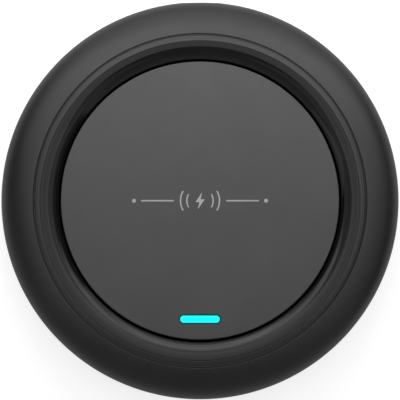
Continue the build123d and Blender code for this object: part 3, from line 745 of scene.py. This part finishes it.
def floor():
    """A plain white floor. The camera sees it evenly white; in the pad's gloss it is dimmer."""
    mesh = bpy.data.meshes.new("floor")
    corners = [(x * FLOOR_HALF, y * FLOOR_HALF, 0) for x, y in ((-1, -1), (1, -1), (1, 1), (-1, 1))]
    mesh.from_pydata(corners, [], [(0, 1, 2, 3)])
    plane = bpy.data.objects.new("floor", mesh)
    bpy.context.collection.objects.link(plane)
    shader = Shader("floor", (0.35, 0.35, 0.35), 0.9)
    shader.set(Specular_IOR_Level=0.0, Emission_Color=(1, 1, 1, 1), Emission_Strength=FLOOR_BOUNCE)
    white = shader.nodes.new("ShaderNodeEmission")
    white.inputs["Strength"].default_value = FLOOR_WHITE - FLOOR_BOUNCE
    seen = shader.nodes.new("ShaderNodeAddShader")
    shader.links.new(shader.bsdf.outputs[0], seen.inputs[0])
    shader.links.new(white.outputs[0], seen.inputs[1])
    path = shader.nodes.new("ShaderNodeLightPath")
    mix = shader.nodes.new("ShaderNodeMixShader")
    shader.links.new(path.outputs["Is Camera Ray"], mix.inputs["Fac"])
    shader.links.new(shader.bsdf.outputs[0], mix.inputs[1])
    shader.links.new(seen.outputs[0], mix.inputs[2])
    shader.links.new(mix.outputs[0], shader.nodes["Material Output"].inputs["Surface"])
    mesh.materials.append(shader.material)


def softbox(name, place, target, size_x, size_y, power, in_gloss=True):
    """An area light that points at a target and isn't seen itself, nor in gloss if that is off."""
    light = bpy.data.lights.new(name, "AREA")
    light.shape = "RECTANGLE"
    light.size = size_x
    light.size_y = size_y
    light.energy = power
    lamp = bpy.data.objects.new(name, light)
    lamp.location = place
    lamp.rotation_euler = (Vector(target) - Vector(place)).to_track_quat("-Z", "Y").to_euler()
    lamp.visible_camera = False
    lamp.visible_glossy = in_gloss
    bpy.context.collection.objects.link(lamp)


CARD_REACH = 0.0875
CARD_HEIGHT = 0.0855
CARD_WIDTH = 0.10
CARD_LENGTH = 0.11
CARD_LEAN = radians(30)


def leaning_card(name, side, power):
    """A card above the pad's rim, on the side at this angle, that faces inwards and leans back."""
    a = radians(side)
    place = Vector((CARD_REACH * cos(a), CARD_REACH * sin(a), CARD_HEIGHT))
    facing = Vector((-cos(a) * cos(CARD_LEAN), -sin(a) * cos(CARD_LEAN), sin(CARD_LEAN)))
    softbox(name, tuple(place), tuple(place + facing), CARD_WIDTH, CARD_LENGTH, power)


# The world's glow by direction. Starts, ends, CARD_HIGH and CARD_LOW are parts of a unit direction,
# and PANEL_FRONT is the slope y over z at which the panel ends.
PANEL_FRONT = -0.35
PANEL_BLUR = 0.05
CARD_SPREAD = 1.3
CARD_SIDE_START = -0.03
CARD_SIDE_END = 0.08
CARD_HIGH = 0.58
CARD_LOW = 0.45
ZENITH_GLOW = 0.200
BACK_GAIN = 0.512
RIGHT_GAIN = 0.105
LEFT_DIM = 0.95
LEFT_DIM_START = 0.45
LEFT_DIM_END = 0.85
LOW_DIM = 0.48
LOW_DIM_START = 0.50
LOW_DIM_END = 0.10
HIGH_BACK_GAIN = 0.322
FRONT_GLOW = 0.100
FRONT_GAIN = 0.235


def studio_world():
    """A wide ceiling panel that ends in front of the pad and low on its right. It brightens
    towards the back and the right, and dims to the left and low down. Past its front end the
    room is dim. The camera sees plain white."""
    world = bpy.data.worlds.new("studio")
    bpy.context.scene.world = world
    world.use_nodes = True
    tree = world.node_tree
    nodes = tree.nodes
    links = tree.links

    def edge(value, low, high):
        node = nodes.new("ShaderNodeMapRange")
        node.interpolation_type = "SMOOTHSTEP"
        node.inputs["From Min"].default_value = low
        node.inputs["From Max"].default_value = high
        links.new(value, node.inputs["Value"])
        return node.outputs["Result"]

    place = nodes.new("ShaderNodeTexCoord").outputs["Generated"]
    split = nodes.new("ShaderNodeSeparateXYZ")
    links.new(place, split.inputs[0])
    x, y, z = split.outputs
    along = maths(tree, "DIVIDE", y, maths(tree, "MAXIMUM", z, 0.02))
    on_panel = edge(along, PANEL_FRONT - PANEL_BLUR, PANEL_FRONT + PANEL_BLUR)
    off_panel = maths(tree, "SUBTRACT", 1.0, on_panel)

    # The dark card low on the right.
    side = maths(tree, "MULTIPLY", maths(tree, "ABSOLUTE", y), CARD_SPREAD)
    facing = edge(maths(tree, "SUBTRACT", x, side), CARD_SIDE_START, CARD_SIDE_END)
    card = maths(tree, "MULTIPLY", facing, edge(z, CARD_HIGH, CARD_LOW))
    open_sky = maths(tree, "SUBTRACT", 1.0, card)

    # The panel's glow.
    back_gain = maths(tree, "ADD", maths(tree, "MULTIPLY", z, HIGH_BACK_GAIN), BACK_GAIN)
    back = maths(tree, "MULTIPLY", maths(tree, "MAXIMUM", y, 0.0), back_gain)
    right = maths(tree, "MULTIPLY", maths(tree, "MAXIMUM", x, 0.0), RIGHT_GAIN)
    spread = maths(tree, "ADD", maths(tree, "ADD", back, right), ZENITH_GLOW)
    leftwards = maths(tree, "MULTIPLY", x, -1.0)
    left_dim = maths(tree, "MULTIPLY", edge(leftwards, LEFT_DIM_START, LEFT_DIM_END), LEFT_DIM)
    low_dim = maths(tree, "MULTIPLY", edge(z, LOW_DIM_START, LOW_DIM_END), LOW_DIM)
    kept = [maths(tree, "SUBTRACT", 1.0, dim) for dim in (left_dim, low_dim)]
    panel = maths(tree, "MULTIPLY", spread, maths(tree, "MULTIPLY", *kept))

    # The room past the panel's front end.
    lowness = maths(tree, "SUBTRACT", 1.0, z)
    room = maths(tree, "ADD", maths(tree, "MULTIPLY", lowness, FRONT_GAIN), FRONT_GLOW)
    lit = maths(tree, "MULTIPLY", on_panel, panel)
    unlit = maths(tree, "MULTIPLY", off_panel, room)
    glow = maths(tree, "MULTIPLY", maths(tree, "ADD", lit, unlit), open_sky)

    background = nodes["Background"]
    background.inputs["Color"].default_value = (1, 1, 1, 1)
    links.new(glow, background.inputs["Strength"])
    seen = nodes.new("ShaderNodeBackground")
    seen.inputs["Color"].default_value = (1, 1, 1, 1)
    path = nodes.new("ShaderNodeLightPath")
    mix = nodes.new("ShaderNodeMixShader")
    links.new(path.outputs["Is Camera Ray"], mix.inputs["Fac"])
    links.new(background.outputs["Background"], mix.inputs[1])
    links.new(seen.outputs["Background"], mix.inputs[2])
    links.new(mix.outputs["Shader"], nodes["World Output"].inputs["Surface"])


CAMERA_Y = 0.18 * MM
CAMERA_LENS = 1000
CAMERA_SENSOR = 36
PICTURE_MARGIN = 1.00705


def camera():
    """Straight above the pad, through a long lens, with a narrow margin round the pad."""
    data = bpy.data.cameras.new("camera")
    data.lens = CAMERA_LENS
    data.sensor_width = CAMERA_SENSOR
    cam = bpy.data.objects.new("camera", data)
    distance = 2 * PAD_R * PICTURE_MARGIN * CAMERA_LENS / CAMERA_SENSOR
    cam.location = (0, CAMERA_Y, EQUATOR_Z + distance)
    data.clip_end = 20
    bpy.context.collection.objects.link(cam)
    bpy.context.scene.camera = cam


floor()
studio_world()
softbox("disc_light", (0, 0.13, 0.09), (0, 0, 0.012), 0.20, 0.06, 0.2197, in_gloss=False)
softbox("back_near", (0, 0.095, 0.12), (0, 0.095, 0), 0.4, 0.08, 0.0850)
softbox("back_low", (0, 0.11, 0.055), (0, 0.06, 0), 0.3, 0.08, 0.0204)
softbox("back_right", (0.11, 0.11, 0.12), (0.1, 0.1, 0), 0.14, 0.14, 0.0016)
softbox("right_card", (0.09, 0, 0.09), (0.0, 0, 0.045), 0.2, 0.1, 0.0071)
softbox("left_above", (-0.09, 0, 0.16), (-0.09, 0, 0), 0.12, 0.2, 0.0140)
softbox("right_above", (0.09, 0, 0.16), (0.09, 0, 0), 0.12, 0.2, 0.0131)
softbox("overhead", (0, 0.05, 0.3), (0, 0.05, 0), 0.3, 0.24, 0.1221)
for side, power in [(90, 0.0239), (135, 0.0122), (180, 0.0110)]:
    leaning_card(f"card_{side}", side, power)
camera()
bpy.context.scene.view_settings.view_transform = "Standard"
